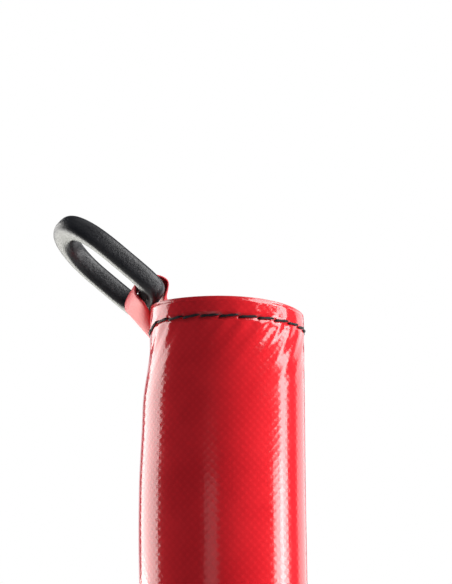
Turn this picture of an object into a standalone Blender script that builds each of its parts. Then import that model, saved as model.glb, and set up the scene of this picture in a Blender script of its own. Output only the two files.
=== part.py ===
"""Portable windsock with a telescopic pole, stowed in its coated fabric sleeve.

Frame: origin at the centre of the sleeve's base, +Z up the sleeve, the hanging ring on the -X side.
"""
import math
import bmesh
import bpy
from mathutils import Vector

MM = 0.001
GAP = 0.3

# sleeve, millimetres
SLEEVE_R = 25.0
SLEEVE_WALL = 1.0
SLEEVE_H = 500.0
MOUTH_SLOPE = -0.05
STITCH_SLOPE = -0.022
STITCH_DROP = 6.1
THREAD_R = 0.45
HEM_DEPTH = 12.0
HEM_T = 0.8
BASE_T = 1.2
SEAM_AZIMUTH = 105.0

# hanging ring and its tab, millimetres
RING_LENGTH = 42.4
RING_WIDTH = 29.1
RING_DEPTH = 7.1
RING_HOLE_LENGTH = 27.6
RING_HOLE_SHIFT = -0.4
RING_HOLE_WIDTH = 20.0
HINGE_POINT = Vector((-26.5, 4.5, SLEEVE_H + 5.5))
RING_LONG = Vector((-0.766, -0.145, 0.626)).normalized()
RING_SHORT = Vector((0.2765, -0.9536, 0.1176)).normalized()
RING_NORMAL = RING_SHORT.cross(RING_LONG).normalized()
TAB_WIDTH = 16.8
TAB_T = 0.9
TAB_AZIMUTH = 163.0
TAB_FOOT_AZIMUTH = 142.0
TAB_SKEW = 1.1
TAB_OUTER_DROP = 19.5
TAB_INNER_DROP = 12.0

# telescopic pole, outside and inside radii of each tube with its bottom and top, millimetres
TUBES = (
    (11.0, 9.5, 54.3, 336.0),
    (9.2, 8.0, 72.6, 362.0),
    (7.7, 6.6, 81.6, 388.0),
    (6.3, 5.2, 90.6, 419.7),
)
COLLAR_R = (13.2, 11.8, 10.2)
COLLAR_BELOW = 13.5
COLLAR_ABOVE = 10.0
GRIP_R = 19.0
GRIP_Z = (120.0, 235.0)

# swivelling windsock, millimetres
SPINDLE_R = 2.0
SPINDLE_TOP = 481.5
HOOP_Z = 453.5
HOOP_Y = 6.0
HOOP_R = 16.6
WIRE_R = 1.25
BINDING_T = 0.55
SOCK_T = 0.6
SOCK_START_Y = 8.4
SOCK_TURN_DROP = 20.5
SOCK_TAIL_Z = 321.0
SOCK_OUT_R = 21.8
SOCK_IN_R = 14.6
SOCK_HALF_ANGLE = (50.0, 38.0)
BANDS = 5

RED = (0.62, 0.03, 0.045, 1.0)
DARK_RED = (0.45, 0.02, 0.03, 1.0)
BLACK = (0.02, 0.02, 0.02, 1.0)
THREAD = (0.015, 0.012, 0.012, 1.0)
SILVER = (0.72, 0.73, 0.75, 1.0)
STEEL = (0.55, 0.56, 0.58, 1.0)
FOAM = (0.04, 0.04, 0.045, 1.0)
ORANGE = (0.9, 0.22, 0.03, 1.0)
WHITE = (0.85, 0.85, 0.82, 1.0)
NYLON = (0.8, 0.8, 0.76, 1.0)


def clear_scene():
    for item in list(bpy.data.objects):
        bpy.data.objects.remove(item, do_unlink=True)


def make_collection(name):
    group = bpy.data.collections.new(name)
    bpy.context.scene.collection.children.link(group)
    return group


def make_material(name, color, roughness, metallic):
    material = bpy.data.materials.new(name)
    material.use_nodes = True
    shader = material.node_tree.nodes["Principled BSDF"]
    shader.inputs["Base Color"].default_value = color
    shader.inputs["Roughness"].default_value = roughness
    shader.inputs["Metallic"].default_value = metallic
    return material


def loft(name, rings, color, group, loop=False, roughness=0.5, metallic=0.0, strip=False):
    """Join closed rings of points, in millimetres, into one closed body.

    A strip's ring runs along its front and back along its rear, and its ends are closed point to facing point.
    """
    count = len(rings[0])
    mesh = bpy.data.meshes.new(name)
    work = bmesh.new()
    rows = []
    for ring in rings:
        rows.append([work.verts.new(Vector(point) * MM) for point in ring])
    pairs = list(zip(rows, rows[1:]))
    if loop:
        pairs.append((rows[-1], rows[0]))
    for low, high in pairs:
        for i in range(count):
            j = (i + 1) % count
            work.faces.new((low[i], low[j], high[j], high[i]))
    if strip:
        for row in (rows[0], rows[-1]):
            for i in range(count // 2 - 1):
                work.faces.new((row[i], row[i + 1], row[count - 2 - i], row[count - 1 - i]))
    elif not loop:
        for row in (rows[0], rows[-1]):
            middle = Vector((0.0, 0.0, 0.0))
            for vertex in row:
                middle += vertex.co / count
            hub = work.verts.new(middle)
            for i in range(count):
                work.faces.new((row[i], row[(i + 1) % count], hub))
    bmesh.ops.recalc_face_normals(work, faces=work.faces[:])
    work.to_mesh(mesh)
    work.free()
    for face in mesh.polygons:
        face.use_smooth = True
    body = bpy.data.objects.new(name, mesh)
    mesh.materials.append(make_material(name, color, roughness, metallic))
    group.objects.link(body)
    return body


def circle(radius, height, segments, slope=0.0):
    ring = []
    for i in range(segments):
        angle = 2.0 * math.pi * i / segments
        x = radius * math.cos(angle)
        ring.append(Vector((x, radius * math.sin(angle), height + slope * x)))
    return ring


def turned(name, profile, color, group, segments=40, roughness=0.5, metallic=0.0):
    """A solid turned about Z from (radius, height) pairs running bottom to top."""
    rings = [circle(radius, height, segments) for radius, height in profile]
    return loft(name, rings, color, group, False, roughness, metallic)


def tube(name, profile, color, group, segments=40, roughness=0.5, metallic=0.0):
    """A hollow piece turned about Z from a closed loop of (radius, height) pairs."""
    rings = [circle(radius, height, segments) for radius, height in profile]
    return loft(name, rings, color, group, True, roughness, metallic)


def on_wall(radius, azimuth, height):
    angle = math.radians(azimuth)
    return Vector((radius * math.cos(angle), radius * math.sin(angle), height))


def thread(name, path, radius, group, closed, sides=6, color=THREAD):
    """A round thread that follows a path of points."""
    rings = []
    count = len(path)
    for i, point in enumerate(path):
        if closed:
            ahead = path[(i + 1) % count] - path[i - 1]
        else:
            ahead = path[min(i + 1, count - 1)] - path[max(i - 1, 0)]
        ahead.normalize()
        side = ahead.cross(Vector((0.0, 0.0, 1.0)))
        if side.length < 0.2:
            side = ahead.cross(Vector((point.x, point.y, 0.0)).normalized())
        side.normalize()
        over = side.cross(ahead).normalized()
        ring = []
        for k in range(sides):
            turn = 2.0 * math.pi * k / sides
            ring.append(point + side * radius * math.cos(turn) + over * radius * math.sin(turn))
        rings.append(ring)
    return loft(name, rings, color, group, closed, 0.7)


# ---------------------------------------------------------------- sleeve

def build_sleeve(group):
    outer = SLEEVE_R
    inner = SLEEVE_R - SLEEVE_WALL
    segments = 64
    rings = [
        circle(inner, 0.0, segments),
        circle(outer, 0.0, segments),
        circle(outer, SLEEVE_H * 0.5, segments),
        circle(outer, SLEEVE_H - 0.35, segments, MOUTH_SLOPE),
        circle(outer - 0.3, SLEEVE_H, segments, MOUTH_SLOPE),
        circle(inner + 0.3, SLEEVE_H, segments, MOUTH_SLOPE),
        circle(inner, SLEEVE_H - 0.35, segments, MOUTH_SLOPE),
        circle(inner, SLEEVE_H * 0.5, segments),
    ]
    loft("sleeve_tube", rings, RED, group, True, 0.25)

    hem_out = inner - GAP
    hem_in = hem_out - HEM_T
    top = SLEEVE_H - 0.4
    rings = [
        circle(hem_in, top - HEM_DEPTH, segments, MOUTH_SLOPE),
        circle(hem_out, top - HEM_DEPTH, segments, MOUTH_SLOPE),
        circle(hem_out, top, segments, MOUTH_SLOPE),
        circle(hem_in, top, segments, MOUTH_SLOPE),
    ]
    loft("mouth_hem", rings, RED, group, True, 0.3)

    turned("base_disc", ((inner - GAP, 0.0), (inner - GAP, BASE_T)), RED, group, 64, 0.3)


def build_sleeve_stitching(group):
    radius = SLEEVE_R + GAP + THREAD_R
    path = []
    start = TAB_AZIMUTH + 3.0
    sweep = 360.0 - 27.0
    steps = 70
    for i in range(steps + 1):
        point = on_wall(radius, start + sweep * i / steps, SLEEVE_H - STITCH_DROP)
        point.z += STITCH_SLOPE * point.x
        path.append(point)
    thread("mouth_stitching", path, THREAD_R, group, False)

    path = [on_wall(radius, 6.0 * i, 8.0) for i in range(60)]
    thread("base_stitching", path, THREAD_R, group, True)

    low = SLEEVE_R + GAP
    high = low + 0.8
    rings = []
    for height in (12.0, 250.0, 486.0):
        ring = []
        for k in range(5):
            ring.append(on_wall(low, SEAM_AZIMUTH - 11.0 + 5.5 * k, height))
        for k in range(5):
            ring.append(on_wall(high, SEAM_AZIMUTH + 11.0 - 5.5 * k, height))
        rings.append(ring)
    loft("seam_strip", rings, RED, group, False, 0.25)

    over = high + GAP + THREAD_R
    path = [on_wall(over, SEAM_AZIMUTH, height) for height in (14.0, 170.0, 330.0, 484.0)]
    thread("seam_stitching", path, THREAD_R, group, False)


# ---------------------------------------------------------------- ring and tab

def signed_power(value, power):
    return math.copysign(abs(value) ** power, value)


def oval_point(angle, length, width, tab_power, free_power):
    """A point on an oval that is squarer at its tab end than at its free end."""
    power = free_power if math.cos(angle) > 0.0 else tab_power
    x = length / 2.0 * signed_power(math.cos(angle), 2.0 / power)
    y = width / 2.0 * signed_power(math.sin(angle), 2.0 / power)
    return x, y


def build_ring(group):
    centre = HINGE_POINT + RING_LONG * (RING_LENGTH / 2.0 - 3.5)
    rings = []
    steps = 60
    for i in range(steps):
        angle = 2.0 * math.pi * (i + 0.5) / steps
        ax, ay = oval_point(angle, RING_LENGTH, RING_WIDTH, 6.0, 2.3)
        bx, by = oval_point(angle, RING_HOLE_LENGTH, RING_HOLE_WIDTH, 6.0, 2.3)
        bx += RING_HOLE_SHIFT
        ring = []
        for k in range(12):
            turn = 2.0 * math.pi * (k + 0.5) / 12
            across = 0.5 + 0.5 * signed_power(math.cos(turn), 0.60)
            depth = RING_DEPTH / 2.0 * signed_power(math.sin(turn), 0.70)
            x = bx + (ax - bx) * across
            y = by + (ay - by) * across
            ring.append(centre + RING_LONG * x + RING_SHORT * y + RING_NORMAL * depth)
        rings.append(ring)
    loft("hang_ring", rings, BLACK, group, True, 0.45)


def tab_row(kind, first, second, skew=0.0, azimuth=TAB_AZIMUTH):
    """Five points across the tab's middle surface. A skewed row on the wall stands higher at its near end."""
    half = TAB_WIDTH / 2.0
    row = []
    for k in range(5):
        across = half * (k - 2) / 2.0
        if kind == "wall":
            turn = math.degrees(across / first)
            row.append(on_wall(first, azimuth + turn, SLEEVE_H + second + skew * across))
        else:
            row.append(HINGE_POINT + RING_LONG * first + RING_NORMAL * second + RING_SHORT * across)
    return row


def smooth_rows(rows, between):
    """Catmull-Rom rows through the given rows."""
    result = []
    last = len(rows) - 1
    for i in range(last):
        for s in range(between):
            t = s / between
            row = []
            for k in range(len(rows[0])):
                a = rows[max(i - 1, 0)][k]
                b = rows[i][k]
                c = rows[i + 1][k]
                d = rows[min(i + 2, last)][k]
                point = b * 2.0 + (c - a) * t
                point += (a * 2.0 - b * 5.0 + c * 4.0 - d) * t * t
                point += (b * 3.0 - a - c * 3.0 + d) * t * t * t
                row.append(point * 0.5)
            result.append(row)
    result.append(rows[last])
    return result


def build_tab(group):
    outer = SLEEVE_R + GAP + TAB_T / 2.0
    inner = SLEEVE_R - SLEEVE_WALL - GAP - HEM_T - GAP - TAB_T / 2.0
    rows = [
        tab_row("wall", inner, -TAB_INNER_DROP),
        tab_row("wall", inner, -TAB_INNER_DROP * 0.5),
        tab_row("wall", inner, 0.5),
        tab_row("wall", inner - 1.3, 3.4),
        tab_row("bar", -1.8, -6.0),
        tab_row("bar", 2.8, -5.0),
        tab_row("bar", 5.7, -0.6),
        tab_row("bar", 4.1, 4.0),
        tab_row("bar", -0.8, 5.2),
        tab_row("wall", outer + 0.9, 11.0 - TAB_OUTER_DROP, TAB_SKEW, TAB_FOOT_AZIMUTH),
        tab_row("wall", outer + 0.15, 7.5 - TAB_OUTER_DROP, TAB_SKEW, TAB_FOOT_AZIMUTH),
        tab_row("wall", outer, 4.0 - TAB_OUTER_DROP, TAB_SKEW, TAB_FOOT_AZIMUTH),
        tab_row("wall", outer, -TAB_OUTER_DROP, TAB_SKEW, TAB_FOOT_AZIMUTH),
    ]
    rows = smooth_rows(rows, 3)
    rings = []
    count = len(rows)
    for i, row in enumerate(rows):
        before = rows[max(i - 1, 0)]
        after = rows[min(i + 1, count - 1)]
        front = []
        back = []
        for k in range(5):
            along = after[k] - before[k]
            across = row[min(k + 1, 4)] - row[max(k - 1, 0)]
            normal = along.cross(across).normalized()
            front.append(row[k] + normal * TAB_T / 2.0)
            back.append(row[k] - normal * TAB_T / 2.0)
        rings.append(front + back[::-1])
    loft("ring_tab", rings, RED, group, False, 0.3, 0.0, True)

    over = outer + TAB_T / 2.0 + GAP + THREAD_R
    reach = TAB_WIDTH / 2.0 - 2.0
    low = SLEEVE_H - TAB_OUTER_DROP + 2.0
    high = low + 4.0
    corners = [(-1.0, low), (-0.5, low), (0.0, low), (0.5, low), (1.0, low), (1.0, (low + high) / 2.0)]
    corners += [(1.0, high), (0.5, high), (0.0, high), (-0.5, high), (-1.0, high), (-1.0, (low + high) / 2.0)]
    path = []
    for share, height in corners:
        across = reach * share
        turn = math.degrees(across / over)
        path.append(on_wall(over, TAB_FOOT_AZIMUTH + turn, height + TAB_SKEW * across))
    thread("tab_stitching", path, THREAD_R, group, True)


# ---------------------------------------------------------------- pole

def build_foot(group):
    profile = ((0.5, 2.2), (5.0, 26.0), (5.0, 46.0), (8.5, 46.2), (8.5, 49.0), (5.0, 49.0), (5.0, 66.0))
    turned("ground_spike", profile, STEEL, group, 32, 0.3, 1.0)
    bore = 5.0 + GAP
    spigot = TUBES[0][1] - GAP
    flange = TUBES[0][0]
    profile = (
        (bore, 49.3),
        (flange - 0.6, 49.3),
        (flange, 49.9),
        (flange, 54.0),
        (spigot, 54.0),
        (spigot, 70.0),
        (bore, 70.0),
    )
    tube("base_plug", profile, BLACK, group)


def build_pole_tubes(group):
    for number, (outer, inner, bottom, top) in enumerate(TUBES, 1):
        profile = ((inner, bottom), (outer, bottom), (outer, top), (inner, top))
        tube("mast_tube_%d" % number, profile, SILVER, group, 40, 0.3, 1.0)
    for number in (2, 3, 4):
        outer, inner, bottom, top = TUBES[number - 1]
        flange = bottom - GAP
        spigot = inner - GAP
        profile = ((outer, flange - 2.0), (outer, flange), (spigot, flange), (spigot, flange + 6.7))
        turned("slide_bush_%d" % number, profile, NYLON, group, 40, 0.6)


def build_grip(group):
    inner = TUBES[0][0] + GAP
    low, high = GRIP_Z
    profile = (
        (inner, low),
        (GRIP_R - 3.5, low),
        (GRIP_R - 1.0, low + 1.2),
        (GRIP_R, low + 4.0),
        (GRIP_R, high - 4.0),
        (GRIP_R - 1.0, high - 1.2),
        (GRIP_R - 3.5, high),
        (inner, high),
    )
    tube("foam_grip", profile, FOAM, group, 40, 0.9)


def build_collars(group):
    for number in (1, 2, 3):
        outer_tube = TUBES[number - 1]
        inner_tube = TUBES[number]
        skin = COLLAR_R[number - 1]
        wide = outer_tube[0] + GAP
        narrow = inner_tube[0] + GAP
        rim = outer_tube[3]
        low = rim - COLLAR_BELOW
        high = rim + COLLAR_ABOVE
        profile = (
            (wide, low),
            (skin - 0.6, low),
            (skin, low + 0.8),
            (skin, rim + 2.0),
            (narrow + 1.4, high),
            (narrow, high),
            (narrow, rim + 0.6),
            (wide, rim + GAP),
        )
        tube("lock_collar_%d" % number, profile, BLACK, group)


def build_swivel(group):
    bore = SPINDLE_R + GAP
    spigot = TUBES[3][1] - GAP
    top = TUBES[3][3]
    profile = (
        (bore, top - 14.7),
        (spigot, top - 14.7),
        (spigot, top + GAP),
        (8.0, top + GAP),
        (8.0, top + 8.0),
        (5.5, top + 11.2),
        (bore, top + 11.2),
    )
    tube("tip_plug", profile, BLACK, group)
    turned("swivel_spindle", ((SPINDLE_R, 407.0), (SPINDLE_R, SPINDLE_TOP - 0.6), (1.4, SPINDLE_TOP)),
           STEEL, group, 24, 0.25, 1.0)
    tube("thrust_washer", ((bore, 431.2), (5.0, 431.2), (5.0, 432.6), (bore, 432.6)), NYLON, group, 32)
    reach = HOOP_R - 4.3
    spacer = ((bore, HOOP_Z - reach), (3.4, HOOP_Z - reach), (3.4, HOOP_Z + reach), (bore, HOOP_Z + reach))
    tube("spacer_tube", spacer, SILVER, group, 32, 0.3, 1.0)
    build_nut(bore, group)
    build_clip("lower_clip", HOOP_Z - HOOP_R, bore, group)
    build_clip("upper_clip", HOOP_Z + HOOP_R, bore, group)


def build_nut(bore, group):
    segments = 24
    rings = []
    low = HOOP_Z + HOOP_R + 4.3
    high = low + 4.5
    for flat, height in ((0.0, low), (3.7, low), (3.7, high), (0.0, high)):
        ring = []
        for i in range(segments):
            angle = 2.0 * math.pi * i / segments
            off_flat = math.fmod(angle, math.pi / 3.0) - math.pi / 6.0
            radius = flat / math.cos(off_flat) if flat > 0.0 else bore
            ring.append(Vector((radius * math.cos(angle), radius * math.sin(angle), height)))
        rings.append(ring)
    loft("spindle_nut", rings, STEEL, group, True, 0.25, 1.0)


def build_clip(name, middle, bore, group):
    """A block that turns on the spindle and carries the hoop's wire."""
    segments = 24
    rings = []
    for radius, height in ((bore, middle - 4.0), (0.0, middle - 4.0), (0.0, middle + 4.0), (bore, middle + 4.0)):
        ring = []
        for i in range(segments):
            angle = 2.0 * math.pi * i / segments
            if radius > 0.0:
                ring.append(Vector((radius * math.cos(angle), radius * math.sin(angle), height)))
            else:
                x = 4.0 * signed_power(math.cos(angle), 0.4)
                y = 0.15 + 4.15 * signed_power(math.sin(angle), 0.4)
                ring.append(Vector((x, y, height)))
        rings.append(ring)
    loft(name, rings, BLACK, group, True, 0.4)


# ---------------------------------------------------------------- windsock

def build_hoop(group):
    segments = 48
    rings = []
    for i in range(segments):
        angle = 2.0 * math.pi * i / segments
        out = Vector((math.sin(angle), 0.0, math.cos(angle)))
        ring = []
        for k in range(8):
            turn = 2.0 * math.pi * k / 8
            radius = HOOP_R + WIRE_R * math.cos(turn)
            y = HOOP_Y + WIRE_R * math.sin(turn)
            ring.append(out * radius + Vector((0.0, y, HOOP_Z)))
        rings.append(ring)
    loft("hoop", rings, STEEL, group, True, 0.25, 1.0)

    near = WIRE_R + GAP
    far = near + BINDING_T
    rings = []
    for i in range(segments):
        angle = 2.0 * math.pi * i / segments
        out = Vector((math.sin(angle), 0.0, math.cos(angle)))
        ring = []
        for k in range(7):
            turn = math.radians(90.0 - 126.0 + 42.0 * k)
            ring.append(binding_point(out, far, turn))
        for k in range(7):
            turn = math.radians(90.0 + 126.0 - 42.0 * k)
            ring.append(binding_point(out, near, turn))
        rings.append(ring)
    loft("mouth_binding", rings, ORANGE, group, True, 0.8)


def binding_point(out, reach, turn):
    radius = HOOP_R + reach * math.cos(turn)
    y = HOOP_Y + reach * math.sin(turn)
    return out * radius + Vector((0.0, y, HOOP_Z))


def sock_ring(turn, z, half_angle, inset):
    """A closed section of the sock: a round mouth turning over into a limp flattened trunk."""
    ring = []
    ease = turn * math.pi / 2.0
    mouth_r = HOOP_R - inset
    half = math.radians(half_angle) - inset / SOCK_OUT_R
    middle = (SOCK_OUT_R + SOCK_IN_R) / 2.0
    thick = (SOCK_OUT_R - SOCK_IN_R) / 2.0 - inset
    for i in range(32):
        angle = 2.0 * math.pi * i / 32
        hx = mouth_r * math.sin(angle)
        hz = HOOP_Z + mouth_r * math.cos(angle)
        side = half * math.sin(angle)
        radius = middle + thick * signed_power(math.cos(angle), 0.6)
        tx = radius * math.sin(side)
        ty = radius * math.cos(side)
        x = hx + (tx - hx) * turn
        y = SOCK_START_Y + (ty - SOCK_START_Y) * math.sin(ease)
        height = hz + (z - hz) * (1.0 - math.cos(ease))
        ring.append(Vector((x, y, height)))
    return ring


def build_sock(group):
    turn_z = HOOP_Z - SOCK_TURN_DROP
    wide, narrow = SOCK_HALF_ANGLE
    steps = 5
    outer = [sock_ring(i / steps, turn_z, wide, 0.0) for i in range(steps + 1)]
    inner = [sock_ring(i / steps, turn_z, wide, SOCK_T) for i in range(steps, -1, -1)]
    loft("sock_band_1", outer + inner, ORANGE, group, True, 0.8)

    span = (turn_z - SOCK_TAIL_Z) / (BANDS - 1)
    for number in range(2, BANDS + 1):
        top = turn_z - span * (number - 2) - GAP
        low = turn_z - span * (number - 1)
        heights = (top, (top + low) / 2.0, low)
        outer = [sock_ring(1.0, z, trunk_angle(z), 0.0) for z in heights]
        inner = [sock_ring(1.0, z, trunk_angle(z), SOCK_T) for z in heights[::-1]]
        color = ORANGE if number % 2 else WHITE
        loft("sock_band_%d" % number, outer + inner, color, group, True, 0.8)

    heights = (SOCK_TAIL_Z + 1.0, SOCK_TAIL_Z + 6.0)
    near = [sock_ring(1.0, z, trunk_angle(z), -GAP) for z in heights]
    far = [sock_ring(1.0, z, trunk_angle(z), -GAP - 0.5) for z in heights[::-1]]
    loft("tail_hem", near + far, ORANGE, group, True, 0.8)


def trunk_angle(z):
    wide, narrow = SOCK_HALF_ANGLE
    share = (HOOP_Z - SOCK_TURN_DROP - z) / (HOOP_Z - SOCK_TURN_DROP - SOCK_TAIL_Z)
    return wide + (narrow - wide) * share


def main():
    clear_scene()
    group = make_collection("stowed_windsock")
    build_sleeve(group)
    build_sleeve_stitching(group)
    build_ring(group)
    build_tab(group)
    build_foot(group)
    build_pole_tubes(group)
    build_grip(group)
    build_collars(group)
    build_swivel(group)
    build_hoop(group)
    build_sock(group)


main()
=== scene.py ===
"""A windsock with its pole, stowed in a glossy coated-fabric sleeve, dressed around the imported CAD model."""
import math

import bmesh
import bpy
import numpy as np
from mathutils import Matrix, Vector


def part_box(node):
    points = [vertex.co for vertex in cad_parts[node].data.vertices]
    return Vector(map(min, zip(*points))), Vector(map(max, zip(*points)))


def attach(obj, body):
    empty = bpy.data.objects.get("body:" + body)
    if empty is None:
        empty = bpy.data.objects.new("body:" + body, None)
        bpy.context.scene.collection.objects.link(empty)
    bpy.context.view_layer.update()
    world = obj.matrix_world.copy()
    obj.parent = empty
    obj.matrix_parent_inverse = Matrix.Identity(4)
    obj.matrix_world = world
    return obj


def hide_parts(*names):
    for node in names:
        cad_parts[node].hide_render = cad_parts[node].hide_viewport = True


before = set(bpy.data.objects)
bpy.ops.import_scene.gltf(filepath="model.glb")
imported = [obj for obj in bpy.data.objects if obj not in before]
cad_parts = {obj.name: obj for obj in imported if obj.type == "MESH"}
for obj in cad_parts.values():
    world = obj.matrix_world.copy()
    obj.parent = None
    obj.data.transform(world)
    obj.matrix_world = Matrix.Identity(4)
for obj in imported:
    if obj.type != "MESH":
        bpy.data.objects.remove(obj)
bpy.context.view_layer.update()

MM = 0.001
TAU = 2.0 * math.pi

# camera, metres and degrees
LENS = 87.6
CAMERA_PITCH = 13.1
CAMERA_DISTANCE = 0.362
CAMERA_TARGET = (-0.0003, 0.0, 0.507)

# name, degrees round, height, distance, (width, height), radiance, height aimed at, colour; metres
WHITE = (1.0, 1.0, 1.0)
LIGHTS = (
    ("left_wall", -120.0, 0.58, 0.85, (0.70, 1.10), 4.3, 0.58, (1.0, 0.985, 0.96)),
    ("left_low", -146.0, 0.14, 0.85, (0.85, 0.50), 4.6, 0.52, (1.0, 1.0, 0.91)),
    ("left_back", -165.0, 0.58, 0.95, (0.34, 1.00), 0.8, 0.58, WHITE),
    ("right_wall", 141.0, 0.60, 0.95, (0.68, 1.10), 1.5, 0.60, WHITE),
    ("right_strip", 89.0, 0.62, 0.80, (0.21, 0.95), 8.0, 0.62, WHITE),
    ("right_strip_low", 78.5, 0.28, 0.80, (0.25, 0.48), 8.5, 0.28, WHITE),
    ("front_key", 64.5, 1.25, 1.05, (0.90, 0.90), 8.3, 0.46, WHITE),
    ("front_low", -22.0, 0.33, 1.00, (0.30, 0.36), 0.62, 0.33, WHITE),
    ("top_fill", 35.0, 1.90, 0.20, (1.2, 1.2), 0.8, 0.0, WHITE),
)
BACKDROP = (1.0, 1.0, 1.0, 1.0)
SURROUNDINGS = (0.052, 0.061, 0.084, 1.0)
FLOOR_HALF = 6.0
FLOOR_FADE = (0.12, 0.60)  # from the object's foot, where the paper starts and ends its fade to white

# sleeve, millimetres
SLEEVE_R = 25.0
SLEEVE_BORE = 24.0
HEM_BORE = 22.9
SLEEVE_H = 500.0
HEM_DEPTH = 12.4
RIM_R = 1.05
RIM_MIDDLE = 23.95
RIM_POWER = 0.22
HEM_ROOM = 6.1  # from the stitch row up to the rim
STITCH_Z = SLEEVE_H - HEM_ROOM
MOUTH_SLOPE = -0.05
STITCH_SLOPE = -0.022
STITCHES = 26
STITCH_PHASE = math.radians(22.1)
STITCH_STEP = TAU / STITCHES
STITCH_GAP = (-132.0, -106.0)  # turns that have no mouth stitch between them, degrees
BULGE_TURN = math.radians(98.0)
BULGE_SPREAD = 0.80
PULL_TURN = 0.74  # where round the tube the pull wrinkles are strongest, radians
THREAD_R = 0.45
CIRCUMFERENCE = TAU * SLEEVE_R
SCRIM_THREADS = 63.0
SEAM_AZIMUTH = 105.0
SEAM_LOW = 12.0
SEAM_TOP = 486.0

# hanging ring and tab, millimetres
HINGE = np.array((-26.5, 4.5, SLEEVE_H + 5.5))
LONG = np.array((-0.766, -0.145, 0.626))
SHORT = np.array((0.2765, -0.9536, 0.1176))
LONG /= np.linalg.norm(LONG)
SHORT /= np.linalg.norm(SHORT)
NORMAL = np.cross(SHORT, LONG)
NORMAL /= np.linalg.norm(NORMAL)
RING_LENGTH = 42.4
RING_WIDTH = 29.1
RING_DEPTH = 7.1
HOLE_LENGTH = 27.6
HOLE_SHIFT = -0.4
HOLE_WIDTH = 20.0
BAR_HALF = 3.5
OVAL_POWERS = (6.0, 2.3)  # squarer at the tab's end, rounder at the free end
BAND_ACROSS_POWER = 0.60
BAND_DEPTH_POWER = 0.70
TAB_WIDTH = 16.8
TAB_T = 0.9
TAB_AZIMUTH = 163.0
TAB_FOOT_AZIMUTH = 142.0
TAB_SKEW = 1.1

# pole, millimetres
COLLAR_BORES = (11.3, 9.5, 8.0, 6.6)  # radii, upwards: a collar steps from one to the next
COLLAR_RIBS = 18
RIB_DEPTH = 0.55
GRIP_BORE = 11.3

# windsock, millimetres
HOOP_Z = 453.5
HOOP_Y = 6.0
HOOP_R = 16.6
WIRE_R = 1.25
SOCK_T = 0.6
SOCK_START_Y = 8.4
SOCK_TURN_Z = 433.0
SOCK_TAIL_Z = 321.0
SOCK_OUT_R = 21.8
SOCK_IN_R = 14.6
SOCK_WIDE = 50.0
SOCK_NARROW = 38.0
BANDS = 5
GRID_PITCH = 9.0


# ---------------------------------------------------------------- camera and light

def add_camera():
    data = bpy.data.cameras.new("photo_camera")
    data.sensor_fit = "HORIZONTAL"
    data.sensor_width = 36.0
    data.lens = LENS
    data.clip_start = 0.01
    camera = bpy.data.objects.new("photo_camera", data)
    pitch = math.radians(CAMERA_PITCH)
    sight = Vector((0.0, math.cos(pitch), math.sin(pitch)))
    camera.location = Vector(CAMERA_TARGET) - sight * CAMERA_DISTANCE
    camera.rotation_euler = (math.pi / 2.0 + pitch, 0.0, 0.0)
    bpy.context.scene.collection.objects.link(camera)
    bpy.context.scene.camera = camera


def softbox(name, turn, height, distance, size, radiance, aim, color):
    """A rectangular light. turn is degrees round the object: 0 is the camera's side, positive is right."""
    data = bpy.data.lights.new(name, "AREA")
    data.shape = "RECTANGLE"
    data.size, data.size_y = size
    data.color = color
    data.energy = radiance * math.pi * size[0] * size[1]
    light = bpy.data.objects.new(name, data)
    angle = math.radians(turn)
    light.location = (distance * math.sin(angle), -distance * math.cos(angle), height)
    towards = Vector((0.0, 0.0, aim)) - light.location
    light.rotation_euler = towards.to_track_quat("-Z", "Y").to_euler()
    light.visible_camera = False
    bpy.context.scene.collection.objects.link(light)


def add_lights():
    for row in LIGHTS:
        softbox(*row)


def add_world():
    """A white backdrop for the camera, and darker surroundings that light the object."""
    world = bpy.data.worlds.new("studio")
    bpy.context.scene.world = world
    world.use_nodes = True
    tree = world.node_tree
    tree.nodes.clear()
    output = tree.nodes.new("ShaderNodeOutputWorld")
    mix = tree.nodes.new("ShaderNodeMixShader")
    path = tree.nodes.new("ShaderNodeLightPath")
    seen = tree.nodes.new("ShaderNodeBackground")
    around = tree.nodes.new("ShaderNodeBackground")
    seen.inputs["Color"].default_value = BACKDROP
    around.inputs["Color"].default_value = SURROUNDINGS
    tree.links.new(path.outputs["Is Camera Ray"], mix.inputs["Fac"])
    tree.links.new(around.outputs[0], mix.inputs[1])
    tree.links.new(seen.outputs[0], mix.inputs[2])
    tree.links.new(mix.outputs[0], output.inputs[0])


def add_floor():
    """Pale paper that fades to the backdrop's white for the camera."""
    mesh = bpy.data.meshes.new("studio_floor")
    half = FLOOR_HALF
    square = [(-half, -half, 0), (half, -half, 0), (half, half, 0), (-half, half, 0)]
    mesh.from_pydata(square, [], [(0, 1, 2, 3)])
    floor = bpy.data.objects.new("studio_floor", mesh)
    material, tree, shader = new_material("floor_paper", (0.62, 0.62, 0.615), 0.8)
    bump(tree, shader, noise_node(tree, 60.0, 3.0), 0.0002)
    coords = tree.nodes.new("ShaderNodeTexCoord")
    length = tree.nodes.new("ShaderNodeVectorMath")
    length.operation = "LENGTH"
    tree.links.new(coords.outputs["Object"], length.inputs[0])
    fade = tree.nodes.new("ShaderNodeMapRange")
    fade.interpolation_type = "SMOOTHSTEP"
    fade.inputs["From Min"].default_value = FLOOR_FADE[0]
    fade.inputs["From Max"].default_value = FLOOR_FADE[1]
    tree.links.new(length.outputs["Value"], fade.inputs["Value"])
    path = tree.nodes.new("ShaderNodeLightPath")
    share = math_node(tree, "MULTIPLY", fade.outputs[0], path.outputs["Is Camera Ray"])
    white = tree.nodes.new("ShaderNodeEmission")
    mix = tree.nodes.new("ShaderNodeMixShader")
    tree.links.new(share, mix.inputs["Fac"])
    tree.links.new(shader.outputs[0], mix.inputs[1])
    tree.links.new(white.outputs[0], mix.inputs[2])
    tree.links.new(mix.outputs[0], tree.nodes["Material Output"].inputs["Surface"])
    mesh.materials.append(material)
    bpy.context.scene.collection.objects.link(floor)


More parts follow.
